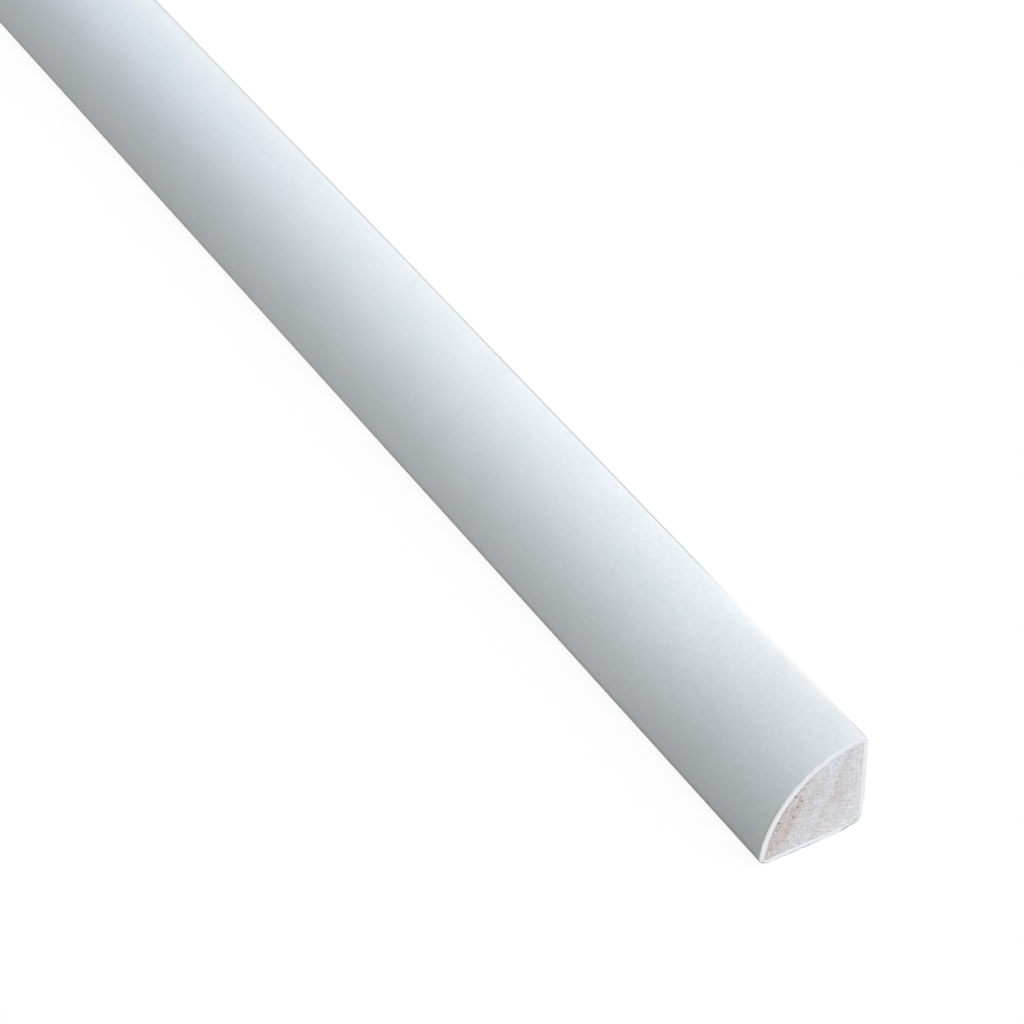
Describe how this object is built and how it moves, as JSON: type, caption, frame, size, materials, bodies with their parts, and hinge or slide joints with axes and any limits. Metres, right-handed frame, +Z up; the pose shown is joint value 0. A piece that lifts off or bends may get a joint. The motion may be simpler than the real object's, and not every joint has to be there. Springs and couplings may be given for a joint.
{
  "type": "quarter round moulding",
  "caption": "Straight quarter round moulding of milled wood with a white coat on its long faces and bare sawn ends; it covers the joint between a floor and a wall.",
  "frame": {"origin": "under the middle of the stick, on the plane it rests on, at the centre of the section's width", "axes": "+X along the stick, +Y towards the wall that the flat back goes against, +Z up"},
  "size_m": [0.9, 0.019, 0.0181],
  "materials": {
    "bare_wood": "sawn",
    "white_coat": "satin"
  },
  "bodies": {
    "root": {"wood_core": "bare_wood", "white_coat": "white_coat"}
  },
  "joints": []
}
